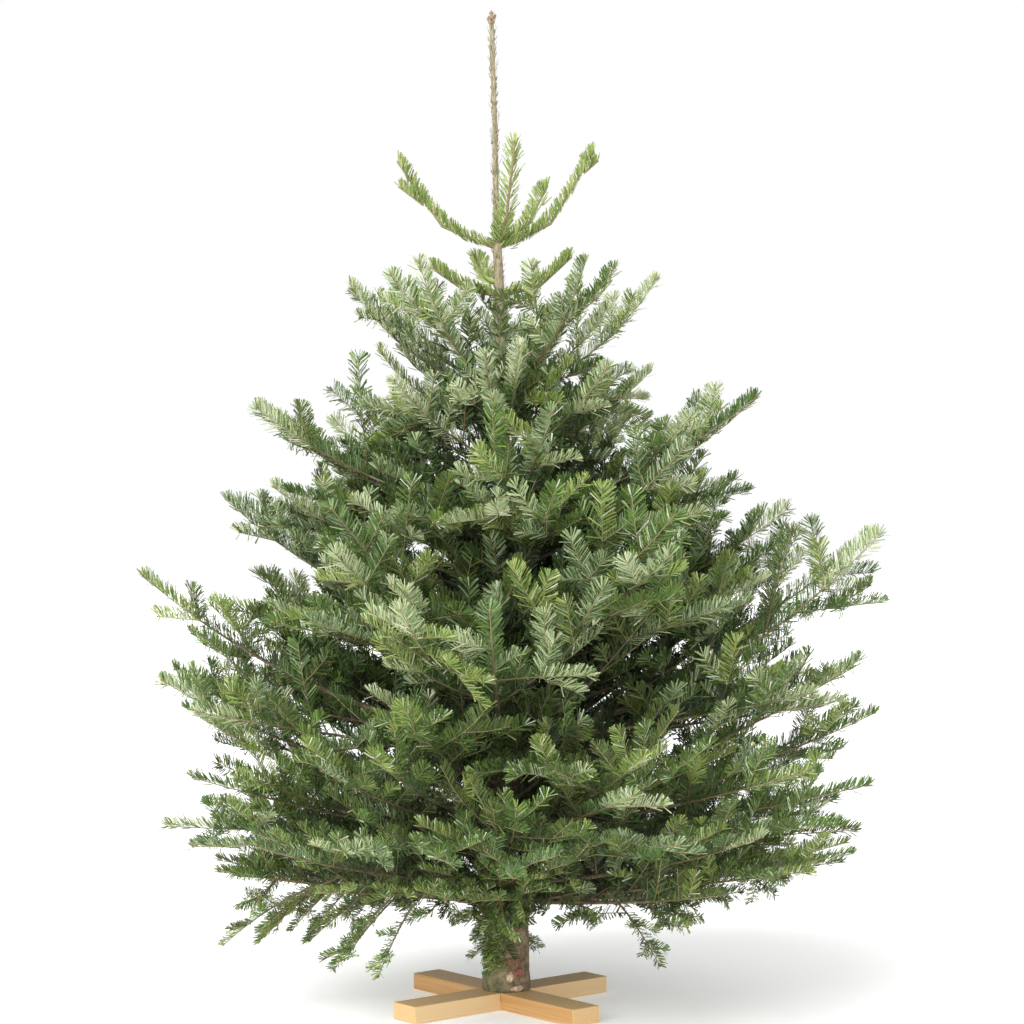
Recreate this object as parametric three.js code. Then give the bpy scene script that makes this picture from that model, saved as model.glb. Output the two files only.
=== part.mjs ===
// A cut fir for Christmas, 1.65 m from the saw cut to the tip of its leader, on a plain cross of
// two half-lapped pine boards. Millimetres, +Z up. The origin is the centre of the cross's flat
// underside, and the tree's fuller side faces -Y.
import * as THREE from 'three';

// ---- The stand ----
const BOARD = { length: 420, width: 58, thickness: 28 };
const STAND_TURN = 40;          // degrees from +X to the lower board
const FIT_GAP = 0.3;            // left between pieces that touch

// ---- The trunk: centre line and radius at heights above the floor ----
const CUT_HEIGHT = BOARD.thickness + FIT_GAP;
const TREE_HEIGHT = 1651;       // saw cut to the tip of the leader
const TRUNK_SIDES = 16;
const TRUNK = [
  { z: CUT_HEIGHT, x: 5, radius: 40 },          // flared foot, cut flat
  { z: 62, x: 5, radius: 38.4 },
  { z: 172, x: 4.5, radius: 36.5 },
  { z: 300, x: 3, radius: 33 },
  { z: 450, x: 1.5, radius: 28.5 },
  { z: 620, x: 0, radius: 23 },
  { z: 820, x: -1, radius: 16.5 },
  { z: 1030, x: -2, radius: 11 },
  { z: 1180, x: -5, radius: 9.4 },
  { z: 1280, x: -10, radius: 8.6 },             // ring of the newest side shoots
  { z: 1310, x: -11, radius: 5.8 },             // foot of the leader
  { z: 1500, x: -14.5, radius: 4.6 },
  { z: CUT_HEIGHT + TREE_HEIGHT - 9, x: -20, radius: 4.2 },
  { z: CUT_HEIGHT + TREE_HEIGHT, x: -20, radius: 2 },   // end bud
];

// ---- The rings of boughs, from the top down ----
// height: where the ring leaves the trunk. start: how far out the needles begin; where it isn't
// 0, bare limbs run up to there. thick: a limb's radius at the trunk. over, under: how far the
// needles fill above and below the boughs beside the trunk. Each side of the tree gives a
// bough's reach, the height of its tip, and how far the finger-like ends of its side shoots
// stand over (lift) and hang under (hang) that tip.
const TWO_IN_FRONT = [4, 90, 176, 236, 304];
const ONE_IN_FRONT = [-4, 56, 124, 184, 268];
const RINGS = [
  {
    height: 1040, headings: TWO_IN_FRONT, start: 0, thick: 0, over: 70, under: 96,
    right: { reach: 272, tip: 1228, lift: 6, hang: 165 },
    left: { reach: 266, tip: 1215, lift: 10, hang: 188 },
    front: { reach: 236, tip: 1236, lift: 0, hang: 160 },
    back: { reach: 250, tip: 1222, lift: 4, hang: 165 },
  },
  {
    height: 819, headings: ONE_IN_FRONT, start: 0, thick: 0, over: 110, under: 94,
    right: { reach: 437, tip: 1004, lift: 22, hang: 108 },
    left: { reach: 424, tip: 1010, lift: 4, hang: 136 },
    front: { reach: 400, tip: 990, lift: 0, hang: 124 },
    back: { reach: 418, tip: 1000, lift: 8, hang: 122 },
  },
  {
    height: 616, headings: TWO_IN_FRONT, start: 96, thick: 7.5, over: 98, under: 78,
    right: { reach: 500, tip: 834, lift: 10, hang: 84 },
    left: { reach: 488, tip: 860, lift: 4, hang: 128 },
    front: { reach: 480, tip: 822, lift: 0, hang: 108 },
    back: { reach: 492, tip: 832, lift: 4, hang: 106 },
  },
  {
    height: 447, headings: ONE_IN_FRONT, start: 118, thick: 9, over: 80, under: 68,
    right: { reach: 649, tip: 810, lift: 0, hang: 210 },
    left: { reach: 624, tip: 731, lift: 0, hang: 170 },
    front: { reach: 560, tip: 690, lift: 0, hang: 150 },
    back: { reach: 600, tip: 735, lift: 0, hang: 165 },
  },
  {
    height: 295, headings: TWO_IN_FRONT, start: 132, thick: 10.5, over: 72, under: 54,
    right: { reach: 619, tip: 424, lift: 86, hang: 90 },
    left: { reach: 562, tip: 384, lift: 126, hang: 92 },
    front: { reach: 545, tip: 400, lift: 70, hang: 76 },
    back: { reach: 580, tip: 410, lift: 94, hang: 88 },
  },
  {
    height: 176, headings: ONE_IN_FRONT, start: 140, thick: 11.5, over: 52, under: 42,
    right: { reach: 590, tip: 262, lift: 24, hang: 104 },
    left: { reach: 497, tip: 176, lift: 40, hang: 96 },
    front: { reach: 352, tip: 262, lift: 20, hang: 48 },
    back: { reach: 500, tip: 210, lift: 28, hang: 92 },
  },
];
const BETWEEN_RINGS = 5;        // kept clear on each side of the surface between two rings
const WEDGE_SHARE = 0.97;       // share of its wedge that a mass fills
const MASS_RINGS = 8;
const MASS_SIDES = 12;
const SEED = { first: 5, ring: 97, bough: 13 };
const FAN = {
  halfWidth: 0.46,              // at its widest, over the bough's reach
  narrowest: 0.25,              // of that width, where it narrows most
  bulgeFrom: 0.12,              // the outline is this far into a half wave at the trunk
  bulgeLength: 0.62,            // and has gone through this much more of it by the end
  opening: 1 / 3,               // share of its length in which it opens from limb to full depth
  footDepth: 0.8,               // of the free height, at the trunk
  depth: 0.96,                  // of the free height, once it is open
  spacing: 0.9,                 // below 1 the sections stand closer towards the end
  bodyEnd: 0.84,                // the even part ends at this share of the reach
  nose: 0.07,                   // the middle of the end stands out by this share
  endFinger: 0.16,              // length of the fingers round the end, over the reach
  sideFinger: 0.075,            // and of those before the end
  lowFinger: 0.5,               // the lowest fingers over the highest
  fingerSwell: 1.06,            // how far fingers stand out round the section
  hollowSwell: 0.84,            // and how far the hollows between them do
  footSwell: 0.8,
  uneven: 0.1,                  // how much each point strays
  rise: 0.6,                    // a bough's slope over that of the top of its needles
  squareness: 0.7,              // 1 gives oval sections, and less gives boxier ones
};
const LIMB = {
  steps: 3,
  taper: 0.72,                  // its radius where the needles begin, over that at the trunk
  clearance: 1.5,               // of its radius, below which the trunk is at its widest for it
};

// ---- The newest side shoots, round the foot of the leader, and the weak shoots below them ----
// height: where a shoot leaves the trunk. tip: its end, across (+X), away (+Y) and up.
// brush: the radius of its needles.
const LONE_SHOOTS = {
  top_shoot_left: { height: 1283, tip: [-176, 4, 1426], brush: 19 },
  top_shoot_right: { height: 1283, tip: [151, 10, 1444], brush: 19 },
  top_shoot_behind: { height: 1291, tip: [74, 84, 1400], brush: 16 },
  top_shoot_front: { height: 1291, tip: [19, -104, 1456], brush: 16 },
  weak_shoot_left: { height: 1203, tip: [-121, -14, 1246], brush: 15 },
  weak_shoot_right: { height: 1203, tip: [116, 30, 1270], brush: 15 },
  weak_shoot_behind: { height: 1222, tip: [-48, 112, 1276], brush: 14 },
};
const SHOOT_SIDES = 8;
const SHOOT_STEPS = 7;
const SHOOT_FOOT = 2.5;         // radius of a bare shoot where it leaves the trunk
const SHOOT_BEND = { out: 0.55, up: 0.08 };   // a shoot leaves level and turns up
const SHOOT_SPREAD = 0.33;      // most radius a shoot has, over its distance from the trunk
const SHOOT_FULLNESS = { tip: 0.4, middle: 0.8, wave: 0.2, pace: 2.4 };

const SKIN = {
  bark: { color: 0x6f6a57, roughness: 0.9 },
  twig: { color: 0x7d6c50, roughness: 0.85 },
  needles: { color: 0x4f6b3c, roughness: 0.55 },
  newNeedles: { color: 0x7f9a5e, roughness: 0.55 },
  pine: { color: 0xd9bd8b, roughness: 0.7 },
};

const tree = new THREE.Group();
const { lerp, degToRad, clamp } = THREE.MathUtils;

function addPiece(name, geometry, skin) {
  const material = new THREE.MeshStandardMaterial({ ...skin, metalness: 0 });
  const piece = new THREE.Mesh(geometry, material);
  piece.name = name;
  tree.add(piece);
  return piece;
}

// Even random numbers from 0 to 1 that are the same on every run.
function dice(seed) {
  let state = seed;
  return () => {
    state = (state * 1664525 + 1013904223) % 4294967296;
    return state / 4294967296;
  };
}

// One closed solid through a row of rings that have equal numbers of points, running
// anticlockwise seen from the last ring. Each end is closed to its middle point, and the last
// one may stand out as a nose.
function loft(rings, nose = new THREE.Vector3()) {
  const sides = rings[0].length;
  const points = rings.flat();
  const middle = (ring) => ring
    .reduce((sum, point) => sum.add(point), new THREE.Vector3())
    .divideScalar(sides);
  const firstMiddle = points.length;
  points.push(middle(rings[0]), middle(rings.at(-1)).add(nose));
  const faces = [];
  const lastStart = (rings.length - 1) * sides;
  for (let side = 0; side < sides; side += 1) {
    const next = (side + 1) % sides;
    for (let start = 0; start < lastStart; start += sides) {
      faces.push(start + side, start + next, start + sides + next);
      faces.push(start + side, start + sides + next, start + sides + side);
    }
    faces.push(firstMiddle, next, side);
    faces.push(firstMiddle + 1, lastStart + side, lastStart + next);
  }
  const geometry = new THREE.BufferGeometry().setFromPoints(points);
  geometry.setIndex(faces);
  geometry.computeVertexNormals();
  return geometry;
}

// Where the trunk's middle is at a height, and how thick it is there.
function trunkAt(z) {
  const above = Math.max(1, TRUNK.findIndex((stop) => stop.z >= z));
  const low = TRUNK[above - 1];
  const high = TRUNK[above];
  const t = clamp((z - low.z) / (high.z - low.z), 0, 1);
  return { x: lerp(low.x, high.x, t), radius: lerp(low.radius, high.radius, t) };
}

function makeTrunk() {
  const rings = TRUNK.map(({ z, x, radius }) => {
    const ring = [];
    for (let side = 0; side < TRUNK_SIDES; side += 1) {
      const angle = (side / TRUNK_SIDES) * 2 * Math.PI;
      ring.push(new THREE.Vector3(x + radius * Math.cos(angle), radius * Math.sin(angle), z));
    }
    return ring;
  });
  addPiece('trunk', loft(rings), SKIN.bark);
}

// One board of the cross: a plank on its flat side with half its thickness cut away in the
// middle, from the top of the lower board and from the underside of the upper one.
function makeBoard(name, turn, notchOnTop) {
  const half = BOARD.length / 2;
  const lap = BOARD.width / 2 + FIT_GAP;
  const { thickness, width } = BOARD;
  const notch = thickness / 2 + (notchOnTop ? -FIT_GAP / 2 : FIT_GAP / 2);
  const outline = new THREE.Shape();
  outline.moveTo(-half, 0);
  if (!notchOnTop) {
    outline.lineTo(-lap, 0).lineTo(-lap, notch).lineTo(lap, notch).lineTo(lap, 0);
  }
  outline.lineTo(half, 0).lineTo(half, thickness);
  if (notchOnTop) {
    outline.lineTo(lap, thickness).lineTo(lap, notch).lineTo(-lap, notch).lineTo(-lap, thickness);
  }
  outline.lineTo(-half, thickness).lineTo(-half, 0);
  const plank = new THREE.ExtrudeGeometry(outline, { depth: width, bevelEnabled: false });
  plank.translate(0, 0, -width / 2).rotateX(Math.PI / 2).rotateZ(degToRad(turn));
  addPiece(name, plank, SKIN.pine);
}

// A ring's size towards any heading, blended from the two nearest of its four sides.
function towards(ring, heading, size) {
  const along = Math.cos(heading);
  const across = Math.sin(heading);
  const side = along > 0 ? ring.right : ring.left;
  const end = across > 0 ? ring.back : ring.front;
  return side[size] * along ** 2 + end[size] * across ** 2;
}

// The natural top and underside of a ring's needles, as straight slopes out from the trunk.
function topOf(ring, out, heading) {
  const tip = towards(ring, heading, 'tip') + towards(ring, heading, 'lift');
  return lerp(ring.height + ring.over, tip, out / towards(ring, heading, 'reach'));
}

function undersideOf(ring, out, heading) {
  const tip = towards(ring, heading, 'tip') - towards(ring, heading, 'hang');
  return lerp(ring.height - ring.under, tip, out / towards(ring, heading, 'reach'));
}

// The heights that a mass of a ring may fill at a place, clear of the rings over and under it.
function room(level, out, heading) {
  const ring = RINGS[level];
  const above = RINGS[level - 1];
  const below = RINGS[level + 1];
  let high = topOf(ring, out, heading);
  let low = undersideOf(ring, out, heading);
  if (above) {
    high = Math.min(high, (high + undersideOf(above, out, heading)) / 2 - BETWEEN_RINGS);
  }
  if (below) {
    low = Math.max(low, (low + topOf(below, out, heading)) / 2 + BETWEEN_RINGS);
  }
  return { high, low };
}

// A sine or cosine flattened towards its ends, which squares off an oval.
function squared(value) {
  return Math.sign(value) * Math.abs(value) ** FAN.squareness;
}

// How far a bough has risen over its foot at a distance from the trunk.
function riseOf(level, out, heading) {
  const ring = RINGS[level];
  const top = room(level, out, heading).high;
  return (out / towards(ring, heading, 'reach')) * (top - ring.height) * FAN.rise;
}

// The slopes of the two sides of a bough's wedge, halfway to the boughs on either hand.
function wedgeOf({ headings }, index) {
  const count = headings.length;
  const turn = (from, to) => (headings[to] - headings[from] + 360) % 360;
  const before = turn((index + count - 1) % count, index);
  const after = turn(index, (index + 1) % count);
  return {
    right: Math.tan(degToRad(before / 2)) * WEDGE_SHARE,
    left: Math.tan(degToRad(after / 2)) * WEDGE_SHARE,
  };
}

// The needles of one bough: a fan with an uneven skin, narrow at the trunk, whose outer points
// are drawn out into fingers. It stays in its own wedge and between its neighbour rings.
function makeMass(name, level, index) {
  const ring = RINGS[level];
  const heading = degToRad(ring.headings[index]);
  const wedge = wedgeOf(ring, index);
  const reach = towards(ring, heading, 'reach');
  const foot = trunkAt(ring.height - ring.under);
  const centre = trunkAt(ring.height);
  const besideTrunk = foot.radius + Math.abs(foot.x - centre.x) + FIT_GAP;
  const first = ring.start || besideTrunk;
  const roll = dice(SEED.first + level * SEED.ring + index * SEED.bough);

  const pointAt = (step, side) => {
    const t = step / MASS_RINGS;
    const grown = Math.min(1, t / FAN.opening);
    const angle = (side / MASS_SIDES) * 2 * Math.PI;
    const isFinger = step > 1 && (step + side) % 2 === 0;
    const uneven = FAN.uneven * (roll() - 0.5);
    const swellHere = uneven + (isFinger ? FAN.fingerSwell : FAN.hollowSwell);
    const swell = step === 0 ? FAN.footSwell : swellHere;
    const fingerShare = step === MASS_RINGS ? FAN.endFinger : FAN.sideFinger;
    const upper = (1 + Math.sin(angle)) / 2;
    const finger = isFinger ? fingerShare * lerp(FAN.lowFinger, 1, upper) : 0;
    const body = lerp(first, reach * FAN.bodyEnd, t ** FAN.spacing);
    const { high, low } = room(level, body, heading);
    const halfHeight = ((high - low) / 2) * lerp(FAN.footDepth, FAN.depth, grown);
    const middle = lerp(ring.height + riseOf(level, body, heading), (high + low) / 2, grown);
    const bulge = Math.sin(Math.PI * (FAN.bulgeFrom + t * FAN.bulgeLength));
    const forward = body + reach * finger;
    const widest = Math.min(
      reach * FAN.halfWidth * lerp(FAN.narrowest, 1, bulge),
      forward * (Math.cos(angle) > 0 ? wedge.left : wedge.right),
    );
    const across = clamp(
      squared(Math.cos(angle)) * widest * swell,
      -forward * wedge.right,
      forward * wedge.left,
    );
    const place = Math.hypot(forward, across);
    const bearing = heading + Math.atan2(across, forward);
    const limits = room(level, place, bearing);
    const slope = lerp(limits.low - low, limits.high - high, upper);
    const z = middle + squared(Math.sin(angle)) * halfHeight * swell + slope;
    return new THREE.Vector3(
      centre.x + place * Math.cos(bearing),
      place * Math.sin(bearing),
      clamp(z, limits.low, limits.high),
    );
  };

  const rings = [];
  for (let step = 0; step <= MASS_RINGS; step += 1) {
    rings.push(Array.from({ length: MASS_SIDES }, (_, side) => pointAt(step, side)));
  }
  const nose = new THREE.Vector3(Math.cos(heading), Math.sin(heading), 0);
  addPiece(name, loft(rings, nose.multiplyScalar(reach * FAN.nose)), SKIN.needles);
}

// The bare part of a bough, from the trunk's bark to the face where its needles begin.
function makeLimb(name, level, index) {
  const ring = RINGS[level];
  const heading = degToRad(ring.headings[index]);
  const centre = trunkAt(ring.height);
  const widest = trunkAt(ring.height - ring.thick * LIMB.clearance);
  const first = widest.radius + Math.abs(widest.x - centre.x) + FIT_GAP;
  const last = ring.start - FIT_GAP;
  const rings = [];
  for (let step = 0; step <= LIMB.steps; step += 1) {
    const t = step / LIMB.steps;
    const out = lerp(first, last, t);
    const radius = ring.thick * lerp(1, LIMB.taper, Math.sqrt(t));
    const rise = riseOf(level, out, heading);
    const around = [];
    for (let side = 0; side < SHOOT_SIDES; side += 1) {
      const angle = (side / SHOOT_SIDES) * 2 * Math.PI;
      const across = radius * Math.cos(angle);
      around.push(new THREE.Vector3(
        centre.x + out * Math.cos(heading) - across * Math.sin(heading),
        out * Math.sin(heading) + across * Math.cos(heading),
        ring.height + rise + radius * Math.sin(angle),
      ));
    }
    rings.push(around);
  }
  addPiece(name, loft(rings), SKIN.twig);
}

// A single needled shoot: a spindle that leaves the trunk thin and level, and turns up.
function makeShoot(name, { height, tip, brush }) {
  const end = new THREE.Vector3(...tip);
  const { x, radius: bark } = trunkAt(height - SHOOT_FOOT * 2);
  const axis = new THREE.Vector3(x, 0, height);
  const outward = end.clone().sub(axis).setZ(0).normalize();
  const start = axis.addScaledVector(outward, bark + SHOOT_FOOT + FIT_GAP);
  const bend = start.clone().lerp(end, SHOOT_BEND.out);
  bend.z = lerp(start.z, end.z, SHOOT_BEND.up);
  const curve = new THREE.QuadraticBezierCurve3(start, bend, end);
  const up = new THREE.Vector3(0, 0, 1);
  const rings = [];
  for (let step = 0; step <= SHOOT_STEPS; step += 1) {
    const t = step / SHOOT_STEPS;
    const along = curve.getTangent(t);
    const across = new THREE.Vector3().crossVectors(up, along).normalize();
    const over = new THREE.Vector3().crossVectors(along, across);
    const wave = SHOOT_FULLNESS.wave * Math.sin(step * SHOOT_FULLNESS.pace);
    const fullness = step === SHOOT_STEPS ? SHOOT_FULLNESS.tip : SHOOT_FULLNESS.middle + wave;
    const middle = curve.getPoint(t);
    const spread = SHOOT_SPREAD * Math.hypot(middle.x - x, middle.y);
    const radius = step === 0 ? SHOOT_FOOT : Math.min(brush * fullness, spread);
    const ring = [];
    for (let side = 0; side < SHOOT_SIDES; side += 1) {
      const angle = (side / SHOOT_SIDES) * 2 * Math.PI;
      ring.push(middle.clone()
        .addScaledVector(across, radius * Math.cos(angle))
        .addScaledVector(over, radius * Math.sin(angle)));
    }
    rings.push(ring);
  }
  addPiece(name, loft(rings), SKIN.newNeedles);
}

makeBoard('stand_board_lower', STAND_TURN, true);
makeBoard('stand_board_upper', STAND_TURN + 90, false);
makeTrunk();
for (const [name, shoot] of Object.entries(LONE_SHOOTS)) {
  makeShoot(name, shoot);
}
RINGS.forEach((ring, level) => {
  ring.headings.forEach((_, index) => {
    const place = `${level + 1}_${index + 1}`;
    makeMass(`foliage_${place}`, level, index);
    if (ring.start) makeLimb(`bough_${place}`, level, index);
  });
});

export default tree;
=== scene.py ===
import random
from math import atan2, cos, exp, hypot, pi, radians, sin, sqrt

import bmesh
import bpy
import numpy as np
from mathutils import Matrix, Vector, noise


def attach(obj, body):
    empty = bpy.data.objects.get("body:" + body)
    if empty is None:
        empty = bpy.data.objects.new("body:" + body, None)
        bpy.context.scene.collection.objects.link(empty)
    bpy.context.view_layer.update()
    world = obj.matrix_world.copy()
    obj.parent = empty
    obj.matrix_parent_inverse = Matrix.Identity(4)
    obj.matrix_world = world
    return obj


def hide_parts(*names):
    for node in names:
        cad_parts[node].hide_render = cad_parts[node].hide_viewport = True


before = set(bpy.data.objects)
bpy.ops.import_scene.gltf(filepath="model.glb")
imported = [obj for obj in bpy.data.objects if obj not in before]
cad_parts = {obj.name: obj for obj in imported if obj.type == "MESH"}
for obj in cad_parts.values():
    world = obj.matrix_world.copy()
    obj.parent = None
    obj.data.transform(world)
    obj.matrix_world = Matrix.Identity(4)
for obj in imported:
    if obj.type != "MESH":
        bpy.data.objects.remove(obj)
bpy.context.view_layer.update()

# A cut fir on a plain pine cross. Its limbs, twigs and needles grow from the solids of the frame:
# the limbs give the feet of the boughs, and the foliage solids their tips.
MM = 0.001
UP = np.array([0.0, 0.0, 1.0])
EAST = np.array([1.0, 0.0, 0.0])
SEED = 20
rng = random.Random(SEED)
dice = np.random.default_rng(SEED)

# ---- Camera, light and floor ----
CAMERA_PLACE = Vector((0.015, -4.0, 0.80))
CAMERA_AIM = Vector((0.015, 0.0, 0.832))
PICTURE = 1024  # pixels
MM_PER_PIXEL = 1.69  # at the trunk
ROOM_LIGHT = 0.67
SUNS = {  # each light's place, strength and breadth in degrees
    "key light": ((-2.1, -2.6, 2.9), 2.95, 50),
    "fill light": ((2.2, -2.4, 1.6), 0.35, 70),
    "low light": ((-0.3, -3.0, 0.35), 0.85, 40),
}
FLOOR_GLOW = 0.22  # painted glow of the floor itself, no lamp: it keeps the shadows on the floor pale and lights the crown from below
FLOOR_HALF = 30.0
FLOOR_DROP = 1 * MM  # keeps it clear of the stand's underside
FLOOR_PATCH = 111 * MM


def new_object(name, data):
    made = bpy.data.objects.new(name, data)
    bpy.context.scene.collection.objects.link(made)
    return made


def new_mesh(name, materials):
    mesh = bpy.data.meshes.new(name)
    for material in materials:
        mesh.materials.append(material)
    return mesh


def add_camera():
    camera = bpy.data.cameras.new("camera")
    camera.lens = camera.sensor_width * -CAMERA_PLACE.y / (PICTURE * MM_PER_PIXEL * MM)
    holder = new_object("camera", camera)
    holder.location = CAMERA_PLACE
    holder.rotation_euler = (CAMERA_AIM - CAMERA_PLACE).to_track_quat("-Z", "Y").to_euler()
    bpy.context.scene.camera = holder


def add_sun(name, place, strength, spread):
    """A broad, far light that is seen as wide as spread, in degrees."""
    lamp = bpy.data.lights.new(name, "SUN")
    lamp.energy = strength
    lamp.angle = radians(spread)
    facing = (-Vector(place)).to_track_quat("-Z", "Y")
    new_object(name, lamp).rotation_euler = facing.to_euler()


def linear(colour):
    """An sRGB hex colour as the linear RGBA that shaders take."""
    channels = [int(colour[i:i + 2], 16) / 255 for i in (1, 3, 5)]
    return tuple(c / 12.92 if c <= 0.04045 else ((c + 0.055) / 1.055) ** 2.4 for c in channels) + (1.0,)


def feed(node, inputs):
    """Sets each of a node's inputs to a value, or links it to a socket."""
    for key, value in inputs.items():
        if isinstance(value, bpy.types.NodeSocket):
            node.id_data.links.new(value, node.inputs[key])
        else:
            node.inputs[key].default_value = value


def add_node(tree, kind, output, inputs=(), stops=(), **settings):
    """Adds a shader node with its settings and inputs, gives a colour ramp its (position, hex
    colour) stops, and returns one of its outputs."""
    node = tree.nodes.new("ShaderNode" + kind)
    for key, value in settings.items():
        setattr(node, key, value)
    feed(node, dict(inputs))
    if stops:
        elements = node.color_ramp.elements
        while len(elements) < len(stops):
            elements.new(0.5)
        for element, (position, colour) in zip(elements, stops):
            element.position = position
            element.color = linear(colour)
    return node.outputs[output]


def new_material(name, roughness):
    material = bpy.data.materials.new(name)
    material.use_nodes = True
    shader = material.node_tree.nodes["Principled BSDF"]
    feed(shader, {"Roughness": roughness})
    return material, material.node_tree, shader


def plain_materials(tints, roughness, shine=0.5):
    """A material for each name and plain colour. shine is the specular level."""
    made = []
    for name, colour in tints:
        material, _, shader = new_material(name, roughness)
        feed(shader, {"Base Color": linear(colour), "Specular IOR Level": shine})
        made.append(material)
    return made


def white_room():
    """The room is white to the camera, and lights the tree more softly than it looks."""
    world = bpy.data.worlds.new("white room")
    world.use_nodes = True
    tree = world.node_tree
    seen = add_node(tree, "LightPath", "Is Camera Ray")
    glow = add_node(tree, "MapRange", "Result", {"Value": seen, "To Min": ROOM_LIGHT, "To Max": 1.0})
    feed(tree.nodes["Background"], {"Color": linear("#ffffff"), "Strength": glow})
    bpy.context.scene.world = world
    bpy.context.scene.view_settings.view_transform = "Standard"
    for name, (place, strength, spread) in SUNS.items():
        add_sun(name, place, strength, spread)


def floor_material():
    """White painted studio floor: matt and almost even, a touch warmer in patches a hand wide, with a
    faint painted glow of its own that pales the shadows on it.
    """
    material, tree, shader = new_material("white studio floor with painted glow", 0.8)
    coords = add_node(tree, "TexCoord", "Object")
    grain = add_node(tree, "TexNoise", "Fac", {"Vector": coords, "Scale": 1 / FLOOR_PATCH})
    tint = add_node(tree, "ValToRGB", "Color", {"Fac": grain}, [(0.0, "#fdfdfc"), (1.0, "#ffffff")])
    # Painted glow: the floor shines by itself, no lamp, so the shadows on it stay pale.
    glow = {"Emission Color": linear("#ffffff"), "Emission Strength": FLOOR_GLOW}
    feed(shader, {"Base Color": tint, **glow})
    return material


def studio_floor():
    mesh = new_mesh("studio_floor", [floor_material()])
    corners = [(x * FLOOR_HALF, y * FLOOR_HALF, 0) for x, y in ((-1, -1), (1, -1), (1, 1), (-1, 1))]
    mesh.from_pydata(corners, [], [(0, 1, 2, 3)])
    floor = new_object("studio_floor", mesh)
    floor.location.z = -FLOOR_DROP


def add_piece(mesh, replaced=(), turn=0.0):
    """A mesh as a piece of the tree's one body, in place of the nodes that it is drawn for."""
    piece = new_object(mesh.name, mesh)
    piece.rotation_euler.z = turn
    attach(piece, "root")
    if replaced:
        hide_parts(*replaced)


# ---- What the frame says ----

def points_of(node):
    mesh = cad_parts[node].data
    flat = np.empty(len(mesh.vertices) * 3)
    mesh.vertices.foreach_get("co", flat)
    return flat.reshape(-1, 3)


def unit(vector):
    return vector / np.linalg.norm(vector)


def length_of(vectors):
    return np.linalg.norm(vectors, axis=-1)[..., None]


def turned(vector, axis, degrees):
    """A vector turned about an axis."""
    angle = radians(degrees)
    axis = unit(axis)
    return (vector * cos(angle) + np.cross(axis, vector) * sin(angle)
            + axis * np.dot(axis, vector) * (1 - cos(angle)))


def swung(one, other, angle):
    """A direction swung towards another one, square to it, by an angle in radians."""
    return one * np.cos(angle) + other * np.sin(angle)


def on_curve(start, bend, end, share):
    return (1 - share) ** 2 * start + 2 * share * (1 - share) * bend + share ** 2 * end


def outward_at(angle):
    """The level direction away from the trunk at an angle in radians."""
    return np.array([cos(angle), sin(angle), 0.0])


def ends_of(points, middle, near, far):
    """The mean of the points within so many millimetres of the nearest to a middle, and of those
    within so many of the furthest from it."""
    distance = np.hypot(points[:, 0] - middle[0], points[:, 1] - middle[1])
    nearest = points[distance < distance.min() + near * MM].mean(0)
    return nearest, points[distance > distance.max() - far * MM].mean(0)


def trunk_profile():
    """The heights of the trunk's rings of points, with each ring's middle and radius."""
    points = points_of("trunk")
    levels = np.unique(np.round(points[:, 2], 5))
    middles, radii = [], []
    for level in levels:
        ring = points[np.abs(points[:, 2] - level) < 0.1 * MM]
        middle = (ring.min(0) + ring.max(0)) / 2
        middles.append(middle)
        radii.append(np.abs(ring[:, 0] - middle[0]).max())
    return levels, np.array(middles), np.array(radii)


TRUNK_LEVELS, TRUNK_MIDDLES, TRUNK_RADII = trunk_profile()


def trunk_at(z):
    x, y = (np.interp(z, TRUNK_LEVELS, TRUNK_MIDDLES[:, axis]) for axis in (0, 1))
    return np.array([x, y, z])


def trunk_radius(z):
    return np.interp(z, TRUNK_LEVELS, TRUNK_RADII)


# ---- How a fir grows ----
# Each season an axis adds one shoot. Older nodes carry a pair of side axes and weaker ones between
# the nodes, which grow on in the same way in the plane of the bough.
# For each tier, from the top: its boughs' age in seasons and how many a mass has; how much shoots
# rise and how often they branch; the thickness at the trunk and how far above and below the whorl
# boughs leave it; "hang", how many lesser boughs fill the gap under it and how far below its tips;
# "wide", their reach over the main ones'; "between", how many shorter ones there are; the shortest
# side axis; needles over the longest kind; and a bough's rise before its middle. In millimetres.
RINGS = {
    1: dict(seasons=3, boughs=4, lift=0.62, keep=0.80, thick=4.4, above=40, below=130,
        hang=(3, 10, 100), wide=0.95, between=1, shortest=30, needle=0.84, bend=0.08),
    2: dict(seasons=4, boughs=4, lift=0.30, keep=0.84, thick=6.0, above=0, below=140,
        hang=(5, 5, 75), wide=0.93, between=4, shortest=36, needle=0.90, bend=0.16),
    3: dict(seasons=5, boughs=4, lift=0.28, keep=0.86, thick=7.5, above=30, below=120,
        hang=(3, 0, 60), wide=0.93, between=2, shortest=36, needle=0.98, bend=0.22),
    4: dict(seasons=6, boughs=5, lift=0.20, keep=0.80, thick=9.0, above=30, below=110,
        hang=(3, 10, 90), wide=0.89, between=3, shortest=34, needle=0.97, bend=0.22),
    5: dict(seasons=6, boughs=5, lift=0.06, keep=0.80, thick=10.5, above=20, below=90,
        hang=(5, -130, 40), wide=1.00, between=2, shortest=32, needle=0.86, bend=0.22),
    6: dict(seasons=6, boughs=4, lift=-0.02, keep=0.76, thick=11.5, above=20, below=0,
        hang=(2, -40, 0), wide=0.96, between=3, shortest=28, needle=0.74, bend=0.22),
}
MASSES = range(1, 6)  # round the trunk in each tier
SECTOR = 70  # degrees of the crown that one mass fills
FAR_SHARE = 0.90  # how far out along a mass its main boughs end
INNER_SHARE = 0.62  # and the least for its lesser ones
TIP_SHARE = 0.975  # the needles at a tip stand out past its wood
LOW_EDGE = 222 * MM  # where the lowest boughs end
LOWEST = 62 * MM  # no shoot comes below this
TIP_RADIUS = 1.1 * MM
MAIN_SIDE_SEASONS = 3
LESSER_SIDE_SEASONS = 2
LESSER_KEEP = 0.85  # how often a lesser bough branches over a main one
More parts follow.
